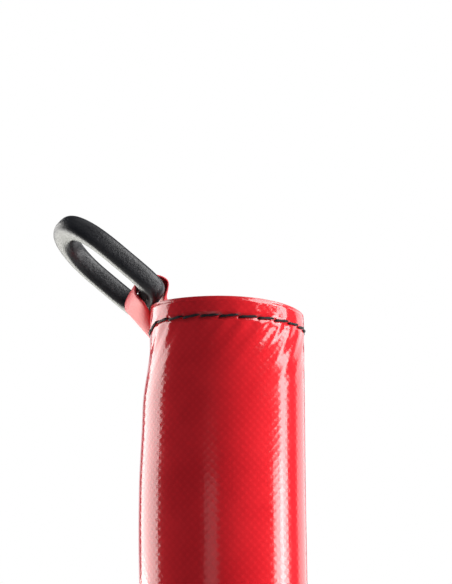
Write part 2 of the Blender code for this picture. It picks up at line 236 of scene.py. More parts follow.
# ---------------------------------------------------------------- material helpers

def new_material(name, color, roughness, metallic=0.0):
    material = bpy.data.materials.new(name)
    material.use_nodes = True
    tree = material.node_tree
    shader = tree.nodes["Principled BSDF"]
    shader.inputs["Base Color"].default_value = (*color, 1.0)
    shader.inputs["Roughness"].default_value = roughness
    shader.inputs["Metallic"].default_value = metallic
    return material, tree, shader


def math_node(tree, operation, *values):
    node = tree.nodes.new("ShaderNodeMath")
    node.operation = operation
    for i, value in enumerate(values):
        if isinstance(value, (int, float)):
            node.inputs[i].default_value = value
        else:
            tree.links.new(value, node.inputs[i])
    return node.outputs[0]


def object_coords(tree, stretch=(1.0, 1.0, 1.0)):
    coords = tree.nodes.new("ShaderNodeTexCoord")
    mapping = tree.nodes.new("ShaderNodeMapping")
    mapping.inputs["Scale"].default_value = stretch
    tree.links.new(coords.outputs["Object"], mapping.inputs["Vector"])
    return mapping.outputs[0]


def noise_node(tree, scale, detail=2.0, stretch=(1.0, 1.0, 1.0)):
    node = tree.nodes.new("ShaderNodeTexNoise")
    node.inputs["Scale"].default_value = scale
    node.inputs["Detail"].default_value = detail
    tree.links.new(object_coords(tree, stretch), node.inputs["Vector"])
    return node.outputs["Fac"]


def cloth_axes(tree):
    """The cloth's own coordinates in millimetres, along its width and its length."""
    uv = tree.nodes.new("ShaderNodeUVMap")
    uv.uv_map = "cloth"
    split = tree.nodes.new("ShaderNodeSeparateXYZ")
    tree.links.new(uv.outputs[0], split.inputs[0])
    across = math_node(tree, "MULTIPLY", split.outputs[0], 100.0)
    along = math_node(tree, "MULTIPLY", split.outputs[1], 100.0)
    return across, along


def wave(tree, source, pitch, offset=0.0):
    turned = math_node(tree, "MULTIPLY_ADD", source, TAU / pitch, offset)
    return math_node(tree, "SINE", turned)


def bump(tree, shader, height, distance, before=None, socket="Normal"):
    node = tree.nodes.new("ShaderNodeBump")
    node.inputs["Strength"].default_value = 1.0
    node.inputs["Distance"].default_value = distance
    tree.links.new(height, node.inputs["Height"])
    if before is not None:
        tree.links.new(before, node.inputs["Normal"])
    if shader is not None:
        tree.links.new(node.outputs[0], shader.inputs[socket])
    return node.outputs[0]


def ramp(tree, factor, stops):
    node = tree.nodes.new("ShaderNodeValToRGB")
    elements = node.color_ramp.elements
    while len(elements) < len(stops):
        elements.new(0.5)
    for element, (place, color) in zip(elements, stops):
        element.position = place
        element.color = (*color, 1.0)
    tree.links.new(factor, node.inputs[0])
    return node.outputs[0]


def spread(tree, factor, low, high):
    node = tree.nodes.new("ShaderNodeMapRange")
    node.inputs["To Min"].default_value = low
    node.inputs["To Max"].default_value = high
    tree.links.new(factor, node.inputs["Value"])
    return node.outputs[0]


# ---------------------------------------------------------------- materials

def coated_fabric(name, color=(0.62, 0.011, 0.017), roughness=0.14, coat=0.25, fold=None):
    """Glossy coating over a coarse plain-woven scrim, whose threads print through as a diagonal lattice. The
    base colour is lighter at the raised crossings as a painted highlight (painted glints), and it also varies
    in random patches.

    fold is where along the cloth, in millimetres, it is folded over and scuffed.
    """
    material, tree, shader = new_material(name, color, roughness)
    across, along = cloth_axes(tree)
    pitch = CIRCUMFERENCE / SCRIM_THREADS
    woven = math_node(tree, "MULTIPLY", wave(tree, across, pitch), wave(tree, along, pitch))
    weave = math_node(tree, "POWER", math_node(tree, "MULTIPLY_ADD", woven, 0.5, 0.5), 2.2)
    patches = noise_node(tree, 70.0, 3.0)
    # dark and light bound the base colour: light is the painted highlight colour of the glints on the
    # crossings, and also the lighter end of the patches' random tone
    dark = tuple(0.86 * c for c in color)
    light = tuple(min(1.0, 1.05 * c + 0.004) for c in color)
    # painted highlight: the weave's crossings lift the base colour towards light as painted glints; the noise
    # patches add random tone
    crossing_glints_and_tone = math_node(tree, "MULTIPLY_ADD", weave, 0.28, math_node(tree, "MULTIPLY", patches, 1.0))
    tree.links.new(ramp(tree, crossing_glints_and_tone, ((0.25, dark), (0.8, light))), shader.inputs["Base Color"])
    gloss = spread(tree, noise_node(tree, 160.0, 4.0), roughness - 0.04, roughness + 0.06)
    if fold is not None:
        away = math_node(tree, "ABSOLUTE", math_node(tree, "SUBTRACT", along, fold))
        near = math_node(tree, "SUBTRACT", 1.0, math_node(tree, "MULTIPLY", away, 0.45))
        scuff = math_node(tree, "MULTIPLY", near, 0.38)
        gloss = math_node(tree, "ADD", gloss, math_node(tree, "MAXIMUM", scuff, 0.0))
    tree.links.new(gloss, shader.inputs["Roughness"])
    slow = bump(tree, None, noise_node(tree, 110.0, 2.0), 0.00006)
    skin = bump(tree, None, noise_node(tree, 1500.0, 3.0), 0.00002, slow)
    bump(tree, shader, weave, 0.000024, skin)
    shader.inputs["Coat Weight"].default_value = coat
    shader.inputs["Coat Roughness"].default_value = 0.07
    return material


def thread_material(name):
    material, tree, shader = new_material(name, (0.004, 0.003, 0.004), 0.6)
    fibres = noise_node(tree, 5200.0, 3.0, (1.0, 1.0, 0.35))
    tree.links.new(ramp(tree, fibres, ((0.3, (0.003, 0.002, 0.003)), (0.8, (0.018, 0.015, 0.017)))),
                   shader.inputs["Base Color"])
    bump(tree, shader, fibres, 0.00008)
    shader.inputs["Specular IOR Level"].default_value = 0.2
    return material


def grained_plastic(name, color, roughness, grain, depth, specular=0.5):
    """Moulded plastic: a coarse leathery grain under a fine one, and slow changes of tone."""
    material, tree, shader = new_material(name, color, roughness)
    fine = noise_node(tree, grain, 4.0)
    coarse = noise_node(tree, grain * 0.42, 2.0)
    worn = noise_node(tree, 45.0, 3.0)
    light = tuple(min(1.0, 2.4 * c + 0.006) for c in color)
    tone = math_node(tree, "MULTIPLY_ADD", fine, 0.5, math_node(tree, "MULTIPLY", worn, 0.6))
    tree.links.new(ramp(tree, tone, ((0.4, color), (0.72, light))), shader.inputs["Base Color"])
    tree.links.new(spread(tree, fine, roughness - 0.10, roughness + 0.18), shader.inputs["Roughness"])
    under = bump(tree, None, coarse, depth * 1.3)
    bump(tree, shader, fine, depth, under)
    shader.inputs["Specular IOR Level"].default_value = specular
    return material


def drawn_metal(name, color, roughness, stretch):
    material, tree, shader = new_material(name, color, roughness, 1.0)
    streaks = noise_node(tree, 900.0, 4.0, stretch)
    worn = noise_node(tree, 40.0, 3.0)
    dark = tuple(0.8 * c for c in color)
    tree.links.new(ramp(tree, worn, ((0.3, dark), (0.7, color))), shader.inputs["Base Color"])
    tree.links.new(spread(tree, streaks, roughness - 0.08, roughness + 0.14), shader.inputs["Roughness"])
    bump(tree, shader, streaks, 0.000012)
    return material


def foam_material(name):
    material, tree, shader = new_material(name, (0.03, 0.03, 0.033), 0.85)
    cells = tree.nodes.new("ShaderNodeTexVoronoi")
    cells.inputs["Scale"].default_value = 1500.0
    tree.links.new(object_coords(tree), cells.inputs["Vector"])
    worn = ramp(tree, noise_node(tree, 90.0, 4.0), ((0.3, (0.018, 0.018, 0.02)), (0.8, (0.06, 0.06, 0.064))))
    tree.links.new(worn, shader.inputs["Base Color"])
    bump(tree, shader, cells.outputs["Distance"], 0.00018)
    shader.inputs["Sheen Weight"].default_value = 0.25
    return material


def ripstop(name, color):
    """Light woven cloth with a square grid of thicker threads."""
    material, tree, shader = new_material(name, color, 0.62)
    across, along = cloth_axes(tree)
    fine = math_node(tree, "MULTIPLY", wave(tree, across, 0.8), wave(tree, along, 0.8))
    grid_a = math_node(tree, "POWER", math_node(tree, "ABSOLUTE", wave(tree, across, GRID_PITCH)), 18.0)
    grid_b = math_node(tree, "POWER", math_node(tree, "ABSOLUTE", wave(tree, along, GRID_PITCH)), 18.0)
    grid = math_node(tree, "MAXIMUM", grid_a, grid_b)
    dark = tuple(0.8 * c for c in color)
    light = tuple(min(1.0, 1.12 * c + 0.01) for c in color)
    tone = math_node(tree, "MULTIPLY_ADD", grid, -0.25, noise_node(tree, 60.0, 4.0))
    tree.links.new(ramp(tree, tone, ((0.2, dark), (0.7, light))), shader.inputs["Base Color"])
    under = bump(tree, None, grid, 0.00006)
    bump(tree, shader, fine, 0.00003, under)
    shader.inputs["Sheen Weight"].default_value = 0.35
    return material


# ---------------------------------------------------------------- mesh helpers

def grid_mesh(name, points, close_rows=False, close_cols=True, size=None, caps=False):
    """A mesh through a rows by cols array of points in millimetres, with a cloth map of the given size."""
    rows, cols = points.shape[:2]
    flat = (points.reshape(-1, 3) * MM).tolist()
    row_steps = rows if close_rows else rows - 1
    col_steps = cols if close_cols else cols - 1
    width, length = size or (10.0, 10.0)
    faces = []
    corners = []
    for i in range(row_steps):
        low = i * cols
        high = ((i + 1) % rows) * cols
        v0 = length * i / row_steps
        v1 = length * (i + 1) / row_steps
        for j in range(col_steps):
            k = (j + 1) % cols
            faces.append((low + j, low + k, high + k, high + j))
            u0 = width * j / col_steps
            u1 = width * (j + 1) / col_steps
            corners.extend(((u0, v0), (u1, v0), (u1, v1), (u0, v1)))
    if caps:
        for first in (0, (rows - 1) * cols):
            for j in range(cols // 2 - 1):
                faces.append((first + j, first + j + 1, first + cols - 2 - j, first + cols - 1 - j))
                corners.extend([(0.0, 0.0)] * 4)
    mesh = bpy.data.meshes.new(name)
    mesh.from_pydata(flat, [], faces)
    layer = mesh.uv_layers.new(name="cloth")
    layer.data.foreach_set("uv", (np.array(corners, dtype=np.float32) / 100.0).ravel())
    mesh.polygons.foreach_set("use_smooth", [True] * len(faces))
    mesh.update()
    return mesh


def finish_piece(mesh, material, body, slot, *nodes):
    """Turn a mesh into a piece that rides on a body and stands for CAD nodes."""
    work = bmesh.new()
    work.from_mesh(mesh)
    bmesh.ops.recalc_face_normals(work, faces=work.faces[:])
    work.to_mesh(mesh)
    work.free()
    mesh.materials.append(material)
    piece = bpy.data.objects.new(mesh.name, mesh)
    bpy.context.scene.collection.objects.link(piece)
    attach(piece, body)
    if nodes:
        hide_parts(*nodes)
    return piece


def smoothstep(value, low, high):
    t = np.clip((value - low) / (high - low), 0.0, 1.0)
    return t * t * (3.0 - 2.0 * t)


def around(radius, turn, height):
    """Points round the sleeve. turn is 0 at the camera's side and grows towards +X."""
    return np.stack(np.broadcast_arrays(radius * np.sin(turn), -radius * np.cos(turn), height), -1)


def outward(turn):
    """The unit vector that points straight out of the sleeve at a turn."""
    return np.array((math.sin(turn), -math.cos(turn), 0.0))


def turn_of(azimuth):
    """The turn that an azimuth from +X towards +Y stands at."""
    return math.radians(azimuth + 90.0)


def wrap(angle):
    return (angle + math.pi) % TAU - math.pi


# ---------------------------------------------------------------- sleeve

def mouth_tilt(height):
    """How much the mouth's slant still tilts a row at this height."""
    above = (height - STITCH_Z) / (SLEEVE_H - STITCH_Z)
    below = smoothstep(height, 462.0, STITCH_Z)
    rim = STITCH_SLOPE + (MOUTH_SLOPE - STITCH_SLOPE) * above
    return np.where(height > STITCH_Z, rim, STITCH_SLOPE * below)


def row_dip(turn):
    """The stitch row drops where it comes up to the tab."""
    return -1.7 * smoothstep(-np.degrees(wrap(turn)), 58.0, 82.0) * (np.degrees(wrap(turn)) > -130.0)


def sleeve_shape(turn, height):
    """How far the fabric stands proud of its 25 mm radius."""
    t = wrap(turn)
    left = np.exp(-(wrap(t + BULGE_TURN) / BULGE_SPREAD) ** 2)
    swell = 2.2 * smoothstep(SLEEVE_H - height, 12.0, 32.0) + 0.9 * smoothstep(SLEEVE_H - height, 30.0, 58.0)
    swell *= 1.0 - 0.55 * smoothstep(SLEEVE_H - height, 62.0, 120.0)
    settle = smoothstep(height, 6.0, 60.0)
    low_fade = smoothstep(height, 4.0, 40.0)
    high_fade = smoothstep(SLEEVE_H - height, 20.0, 70.0)
    return left * swell * settle + 0.25 * np.sin(2.0 * t + height / 60.0) * low_fade * high_fade


def stitch_detail(turn, height):
    """Trough, needle holes and the slanting pull wrinkles under the mouth stitching."""
    arc = SLEEVE_R * wrap(turn)
    drop = STITCH_Z + row_dip(turn) - height
    trough = -0.17 * np.exp(-(drop / 0.75) ** 2)
    step = STITCH_STEP * SLEEVE_R
    phase = (arc - STITCH_PHASE * SLEEVE_R) / step
    near = (phase - np.round(phase)) * step
    holes = -0.30 * np.exp(-(near / 0.55) ** 2 - (drop / 0.6) ** 2)
    lips = 0.10 * np.exp(-(near / 1.3) ** 2 - ((np.abs(drop) - 1.5) / 0.7) ** 2)
    band = np.where(drop < 0.0, 0.08 * np.sin(math.pi * np.clip(-drop / HEM_ROOM, 0.0, 1.0)), 0.0)
    below = np.clip(drop, 0.0, None)
    fade = (1.0 - np.exp(-below / 1.3)) * np.exp(-below / 7.5)
    at = wrap(turn)
    vary = 0.42 + 0.12 * np.sin(at * 5.0 + 0.7) + 0.85 * np.exp(-((at - PULL_TURN) / 0.40) ** 2)
    slant = (arc + 0.72 * below) / step - STITCH_PHASE * SLEEVE_R / step + 0.5
    pull = 0.26 * vary * fade * np.cos(TAU * slant)
    above = np.clip(-drop, 0.0, HEM_ROOM)
    strength = 0.03 + 0.07 * np.exp(-((at - PULL_TURN) / 0.4) ** 2)
    pull_up = strength * np.sin(TAU * (arc - 0.5 * above) / step) * np.exp(-above / 3.0) * (drop < 0.0)
    return trough + holes + lips + band + pull + pull_up


def build_sleeve():
    cols = 448
    turn = np.linspace(0.0, TAU, cols, endpoint=False) + math.pi
    top = SLEEVE_H - RIM_R
    outer_rows = list(np.linspace(0.0, 12.0, 10))
    outer_rows += list(np.linspace(18.0, 420.0, 64))
    outer_rows += list(np.linspace(424.0, 474.0, 28))
    outer_rows += list(np.arange(474.6, top, 0.45))
    rows = []
    for z in outer_rows:
        height = np.full(cols, z)
        radius = SLEEVE_R + sleeve_shape(turn, height)
        if z > 460.0:
            radius = radius + stitch_detail(turn, height)
        if z < 12.0:
            radius = radius - 0.5 * (1.0 - smoothstep(height, 0.0, 1.4))
            radius = radius - 0.2 * np.exp(-((height - 8.0) / 0.8) ** 2)
        rows.append((radius, height))
    for k in range(13):
        t = math.pi * k / 12
        height = np.full(cols, top + RIM_R * float(signed_power(math.sin(t), RIM_POWER)))
        rows.append((np.full(cols, RIM_MIDDLE + RIM_R * float(signed_power(math.cos(t), RIM_POWER))), height))
    for z in np.linspace(top - 1.0, SLEEVE_H - HEM_DEPTH, 12):
        rows.append((np.full(cols, HEM_BORE), np.full(cols, z)))
    rows.append((np.full(cols, SLEEVE_BORE - 0.2), np.full(cols, SLEEVE_H - HEM_DEPTH - 0.05)))
    for z in np.linspace(SLEEVE_H - HEM_DEPTH - 1.0, 0.0, 36):
        height = np.full(cols, z)
        rows.append((SLEEVE_BORE + sleeve_shape(turn, height), height))
    points = []
    for radius, height in rows:
        ring = around(radius, turn, height)
        ring[:, 2] += mouth_tilt(height) * ring[:, 0]
        edge = smoothstep(height, STITCH_Z, SLEEVE_H)
        ring[:, 2] += 0.22 * edge * np.sin(wrap(turn) * 3.0 + 0.4)
        points.append(ring)
    points = np.array(points)
    lengths = np.linalg.norm(np.diff(points, axis=0), axis=2).mean(1)
    mesh = grid_mesh("sleeve_skin", points, close_rows=True, size=(CIRCUMFERENCE, float(lengths.sum())))
    even_rows(mesh, points.shape, lengths)
    fold = float(lengths[:len(outer_rows) + 6].sum())
    piece = finish_piece(mesh, coated_fabric("red_coated_fabric", fold=fold), "sleeve", "red_pvc",
                         "sleeve_tube", "mouth_hem")
    return piece


def even_rows(mesh, shape, lengths):
    """Space the cloth map's rows by their real distance, so that the weave keeps its pitch."""
    cols = shape[1]
    marks = np.concatenate(([0.0], np.cumsum(list(lengths) + [1.0])))
    count = len(mesh.loops)
    values = np.empty(count * 2, dtype=np.float32)
    layer = mesh.uv_layers["cloth"]
    layer.data.foreach_get("uv", values)
    values = values.reshape(-1, 2)
    face = np.arange(count) // 4
    corner = np.arange(count) % 4
    row = face // cols
    values[:, 1] = marks[row + (corner > 1)] / 100.0
    layer.data.foreach_set("uv", values.ravel())


def build_base():
    rings = []
    for radius, height in ((23.7, 0.9), (23.7, 0.25), (23.2, 0.0), (12.0, 0.02), (0.6, 0.05)):
        rings.append(around(np.full(96, radius), np.linspace(0, TAU, 96, endpoint=False), np.full(96, height)))
    for radius, height in ((0.6, 1.1), (12.0, 1.15), (22.6, 1.2), (23.5, 1.15)):
        rings.append(around(np.full(96, radius), np.linspace(0, TAU, 96, endpoint=False), np.full(96, height)))
    points = np.array(rings)
    mesh = grid_mesh("base_panel", points, close_rows=True, size=(150.0, 52.0))
    piece = finish_piece(mesh, coated_fabric("red_base_fabric"), "sleeve", "red_pvc", "base_disc")
    return piece


# ---------------------------------------------------------------- thread

def ply_thread(path, radius, ups, twist=1.6, sides=10):
    """A two-ply thread along a path: its section has two lobes that turn as it goes."""
    rows = []
    count = len(path)
    run = 0.0
    for i in range(count):
        ahead = path[min(i + 1, count - 1)] - path[max(i - 1, 0)]
        ahead = ahead / np.linalg.norm(ahead)
        side = np.cross(ahead, ups[i])
        side /= np.linalg.norm(side)
        over = np.cross(side, ahead)
        if i:
            run += np.linalg.norm(path[i] - path[i - 1])
        lobe = TAU * run / twist
        end = math.sin(math.pi * min(1.0, max(0.06, min(i, count - 1 - i) / 2.2)) / 2.0)
        ring = []
        for k in range(sides):
            a = TAU * k / sides
            r = radius * end * (0.86 + 0.14 * math.cos(2.0 * (a - lobe)))
            ring.append(path[i] + side * r * math.cos(a) + over * r * math.sin(a))
        rows.append(ring)
    return np.array(rows)


def join_strands(name, strands):
    """One mesh from many separate capped strands."""
    verts = []
    faces = []
    for strand in strands:
        rows, sides = strand.shape[:2]
        first = len(verts)
        verts.extend((strand.reshape(-1, 3) * MM).tolist())
        for i in range(rows - 1):
            for k in range(sides):
                n = (k + 1) % sides
                a = first + i * sides
                b = a + sides
                faces.append((a + k, a + n, b + n, b + k))
        faces.append(tuple(range(first, first + sides))[::-1])
        faces.append(tuple(range(first + (rows - 1) * sides, first + rows * sides)))
    mesh = bpy.data.meshes.new(name)
    mesh.from_pydata(verts, [], faces)
    mesh.polygons.foreach_set("use_smooth", [True] * len(faces))
    mesh.update()
    return mesh


def surface_point(turn, height, lift):
    t = np.array([turn])
    h = np.array([height])
    radius = SLEEVE_R + sleeve_shape(t, h) + lift
    point = around(radius, t, h)[0]
    point[2] += float(mouth_tilt(h)[0]) * point[0]
    return point


def build_mouth_stitches():
    strands = []
    for k in range(STITCHES):
        start = STITCH_PHASE + STITCH_STEP * k
        middle = math.degrees(wrap(start + STITCH_STEP / 2.0))
        if STITCH_GAP[0] < middle < STITCH_GAP[1]:
            continue
        lean = 0.30 + 0.10 * math.sin(k * 2.4)
        path = []
        ups = []
        steps = 13
        for i in range(steps):
            s = i / (steps - 1)
            turn = start + STITCH_STEP * (-0.02 + 1.04 * s)
            dip = float(row_dip(np.array([turn]))[0])
            height = STITCH_Z + dip + lean * (2.0 * s - 1.0) + 0.04 * math.sin(k * 1.7)
            lift = 0.20 - 0.75 * abs(2.0 * s - 1.0) ** 8
            path.append(surface_point(turn, height, lift))
            ups.append(outward(turn))
        strands.append(ply_thread(path, THREAD_R, ups, twist=1.3))
    mesh = join_strands("mouth_stitches", strands)
    return finish_piece(mesh, thread_material("black_thread"), "sleeve", "black_thread", "mouth_stitching")


def build_plain_stitches(name, spots, node, material):
    """Stitches along a route of (point, outward) pairs, one for each gap between them."""
    strands = []
    for (a, up_a), (b, up_b) in zip(spots, spots[1:]):
        path = []
        ups = []
        for i in range(9):
            s = i / 8
            t = 0.08 + 0.84 * s
            up = up_a * (1.0 - t) + up_b * t
            up = up / np.linalg.norm(up)
            lift = THREAD_R * 0.7 - 0.8 * abs(2.0 * s - 1.0) ** 6
            path.append(a * (1.0 - t) + b * t + up * lift)
            ups.append(up)
        strands.append(ply_thread(path, THREAD_R, ups, sides=8))
    mesh = join_strands(name, strands)
    return finish_piece(mesh, material, "sleeve", "black_thread", node)


def build_base_stitches(material):
    spots = []
    for k in range(STITCHES + 1):
        turn = STITCH_STEP * k
        up = outward(turn)
        spots.append((surface_point(turn, 8.0, 0.0), up))
    build_plain_stitches("base_stitches", spots, "base_stitching", material)


def build_seam(fabric, material):
    """The lengthwise lap seam at the back and its row of stitches."""
    turn = turn_of(SEAM_AZIMUTH)
    foot = np.linspace(SEAM_LOW, 14.0, 4)
    head = np.linspace(484.0, SEAM_TOP, 4)
    heights = np.concatenate((foot, np.linspace(20.0, 478.0, 78), head))
    rows = []
    half = math.radians(11.0)
    for z in heights:
        end = min(z - SEAM_LOW, SEAM_TOP - z)
        thick = 0.9 * math.sqrt(min(1.0, max(0.05, end)))
        ring = []
        for k in range(13):
            t = turn + half * (k - 6) / 6.0
            soft = 1.0 - ((k - 6) / 6.0) ** 8
            ring.append(surface_point(t, z, 0.12 + thick * soft + 0.02 * math.sin(z / 2.9)))
        for k in range(12, -1, -1):
            t = turn + half * (k - 6) / 6.0
            ring.append(surface_point(t, z, 0.05))
        rows.append(ring)
    mesh = grid_mesh("seam_lap", np.array(rows), size=(20.0, 474.0), caps=True)
    piece = finish_piece(mesh, fabric, "sleeve", "red_pvc", "seam_strip")
    spots = []
    for k in range(82):
        z = 15.0 + 5.8 * k
        up = outward(turn)
        spots.append((surface_point(turn, z, 0.95), up))
    build_plain_stitches("seam_stitches", spots, "seam_stitching", material)


# ---------------------------------------------------------------- ring and tab

def signed_power(value, power):
    return np.sign(value) * np.abs(value) ** power


def oval(angle, length, width, tab_power, free_power):
    power = np.where(np.cos(angle) > 0.0, free_power, tab_power)
    x = length / 2.0 * signed_power(np.cos(angle), 2.0 / power)
    y = width / 2.0 * signed_power(np.sin(angle), 2.0 / power)
    return x, y


def build_ring():
    centre = HINGE + LONG * (RING_LENGTH / 2.0 - BAR_HALF)
    steps = 144
    sides = 40
    angle = TAU * (np.arange(steps) + 0.5) / steps
    ax, ay = oval(angle, RING_LENGTH, RING_WIDTH, *OVAL_POWERS)
    bx, by = oval(angle, HOLE_LENGTH, HOLE_WIDTH, *OVAL_POWERS)
    bx = bx + HOLE_SHIFT
    points = np.empty((steps, sides, 3))
    for k in range(sides):
        turn = TAU * (k + 0.5) / sides
        across = 0.5 + 0.5 * float(signed_power(math.cos(turn), BAND_ACROSS_POWER))
        depth = RING_DEPTH / 2.0 * float(signed_power(math.sin(turn), BAND_DEPTH_POWER))
        x = bx + (ax - bx) * across
        y = by + (ay - by) * across
        points[:, k] = centre + np.outer(x, LONG) + np.outer(y, SHORT) + depth * NORMAL
    mesh = grid_mesh("oval_ring", points, close_rows=True, size=(20.0, 120.0))
    material = grained_plastic("ring_plastic", (0.005, 0.005, 0.006), 0.33, 2600.0, 0.000065, 0.41)
    return finish_piece(mesh, material, "ring", "ring_plastic", "hang_ring")


def skin_point(across, radius, height):
    """A point over the sleeve's outside at the tab's foot, which is sewn on at a slant."""
    turn = turn_of(TAB_FOOT_AZIMUTH) + across / radius
    z = SLEEVE_H + height + TAB_SKEW * across
    t = np.array([turn])
    h = np.array([z])
    proud = sleeve_shape(t, h) + stitch_detail(t, h).clip(0.0)
    return around(radius + float(proud[0]), turn, z)


def tab_row(kind, first, second, cols=13):
    half = TAB_WIDTH / 2.0
    row = []
    for k in range(cols):
        across = half * (2.0 * k / (cols - 1) - 1.0)
        if kind == "wall":
            turn = turn_of(TAB_AZIMUTH) + across / first
            row.append(around(first, turn, SLEEVE_H + second))
        elif kind == "skin":
            row.append(skin_point(across, first, second))
        else:
            row.append(HINGE + LONG * first + NORMAL * second + SHORT * across)
    return np.array(row)


def smooth_rows(rows, between):
    result = []
    last = len(rows) - 1
    for i in range(last):
        a, b, c, d = (rows[min(max(i + n, 0), last)] for n in (-1, 0, 1, 2))
        for s in range(between):
            t = s / between
            mixed = 2.0 * b + (c - a) * t + (2.0 * a - 5.0 * b + 4.0 * c - d) * t * t
            result.append(0.5 * (mixed + (3.0 * b - a - 3.0 * c + d) * t ** 3))
    result.append(rows[last])
    return np.array(result)


def build_tab(fabric, material):
    outer = SLEEVE_R + 0.3 + TAB_T / 2.0
    inner = HEM_BORE - 0.3 - TAB_T / 2.0
    rows = [
        tab_row("wall", inner, -12.0),
        tab_row("wall", inner, -6.0),
        tab_row("wall", inner, 0.5),
        tab_row("wall", inner - 1.3, 3.4),
        tab_row("bar", -1.8, -6.0),
        tab_row("bar", 2.8, -5.0),
        tab_row("bar", 5.7, -0.6),
        tab_row("bar", 4.1, 4.0),
        tab_row("bar", -0.8, 5.2),
        tab_row("skin", outer + 0.9, -8.5),
        tab_row("skin", outer + 0.15, -12.0),
        tab_row("skin", outer, -15.5),
        tab_row("skin", outer, -19.5),
    ]
    middle = smooth_rows(rows, 6)
    along = np.gradient(middle, axis=0)
    across = np.gradient(middle, axis=1)
    normal = np.cross(along, across)
    normal /= np.linalg.norm(normal, axis=2, keepdims=True)
    edge = np.abs(np.linspace(-1.0, 1.0, middle.shape[1]))
    half = TAB_T / 2.0 * np.sqrt(1.0 - 0.75 * edge ** 10)[None, :, None]
    section = np.concatenate((middle + normal * half, (middle - normal * half)[:, ::-1]), axis=1)
    length = float(np.linalg.norm(np.diff(middle, axis=0), axis=2).sum(0).mean())
    mesh = grid_mesh("tab_strap", section, size=(2.0 * TAB_WIDTH, length), caps=True)
    piece = finish_piece(mesh, fabric, "sleeve", "red_pvc", "ring_tab")

    spots = []
    over = outer + TAB_T / 2.0 - 0.05
    reach = TAB_WIDTH / 2.0 - 2.0
    route = [(s, -17.5) for s in np.linspace(-1.0, 1.0, 4)]
    route += [(s, -13.5) for s in np.linspace(1.0, -1.0, 4)]
    route.append((-1.0, -17.5))
    for s, z in route:
        turn = turn_of(TAB_FOOT_AZIMUTH) + reach * s / over
        up = outward(turn)
        spots.append((skin_point(reach * s, over, z), up))
    build_plain_stitches("tab_stitches", spots, "tab_stitching", material)


# ---------------------------------------------------------------- pole

def dress_pole():
    tube_metal = drawn_metal("drawn_aluminium", (0.30, 0.31, 0.33), 0.44, (1.0, 1.0, 0.03))
    steel = drawn_metal("turned_steel", (0.26, 0.27, 0.28), 0.40, (0.2, 0.2, 1.0))
    nylon = grained_plastic("white_nylon", (0.50, 0.50, 0.47), 0.5, 2600.0, 0.00002)
    black = grained_plastic("black_moulding", (0.022, 0.022, 0.024), 0.38, 3000.0, 0.00004)
    finishes = {
        "mast_tube_1": tube_metal, "mast_tube_2": tube_metal, "mast_tube_3": tube_metal,
        "mast_tube_4": tube_metal, "spacer_tube": tube_metal,
        "ground_spike": steel, "swivel_spindle": steel, "spindle_nut": steel, "hoop": steel,
        "slide_bush_2": nylon, "slide_bush_3": nylon, "slide_bush_4": nylon, "thrust_washer": nylon,
        "base_plug": black, "tip_plug": black, "lower_clip": black, "upper_clip": black,
    }
    for node, material in finishes.items():
        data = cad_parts[node].data
        data.materials.clear()
        data.materials.append(material)
    return black


def turned_piece(name, profile, ribs, depth, material, body, slot, node):
    """A hollow turned piece, (radius, height, ribbed) rows, with moulded ribs where ribbed is 1."""
    cols = 144
    turn = np.linspace(0.0, TAU, cols, endpoint=False)
    rows = []
    for radius, height, ribbed in profile:
        cut = depth * ribbed * (0.5 - 0.5 * np.cos(turn * ribs)) ** 2
        rows.append(around(radius - cut, turn, np.full(cols, height)))
    mesh = grid_mesh(name, np.array(rows), close_rows=True, size=(TAU * profile[1][0], 60.0))
    return finish_piece(mesh, material, body, slot, node)


def build_collars(material):
    for number in (1, 2, 3):
        node = "lock_collar_%d" % number
        low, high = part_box(node)
        skin = (high.x - low.x) / MM / 2.0
        bottom = low.z / MM
        top = high.z / MM
        wide, narrow = COLLAR_BORES[number - 1:number + 1]
        rim = top - 10.0
        profile = [
            (wide, bottom, 0), (wide + 0.5, bottom, 0), (skin - 0.6, bottom, 0), (skin - 0.1, bottom + 0.5, 0),
            (skin, bottom + 1.2, 0), (skin, bottom + 2.2, 0), (skin - 0.25, bottom + 2.4, 0),
            (skin - 0.05, bottom + 3.2, 1), (skin - 0.05, rim, 1), (skin - 0.25, rim + 0.8, 0),
            (skin, rim + 1.0, 0), (skin, rim + 2.0, 0), (narrow + 1.6, top - 0.3, 0), (narrow + 1.2, top, 0),
            (narrow, top, 0), (narrow, rim + 0.7, 0), (wide, rim + 0.3, 0),
        ]
        turned_piece("twist_collar_%d" % number, profile, COLLAR_RIBS, RIB_DEPTH, material,
                     "collar_%d" % number, "moulded_black", node)


def build_grip():
    low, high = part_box("foam_grip")
    bottom = low.z / MM
    top = high.z / MM
    profile = [(GRIP_BORE, bottom, 0), (15.0, bottom, 0), (17.4, bottom + 0.7, 0), (18.7, bottom + 2.4, 0)]
    steps = 40
    for k in range(steps + 1):
        s = k / steps
        z = bottom + 4.0 + (top - bottom - 8.0) * s
        ring_dent = 0.7 * max(0.0, math.cos(TAU * 7.0 * s)) ** 6
        profile.append((19.0 - ring_dent, z, 0))
    profile += [(18.7, top - 2.4, 0), (17.4, top - 0.7, 0), (15.0, top, 0), (GRIP_BORE, top, 0)]
    foam = foam_material("grip_foam")
    piece = turned_piece("foam_sleeve", profile, 1, 0.0, foam, "mast_1", "foam", "foam_grip")


# ---------------------------------------------------------------- windsock

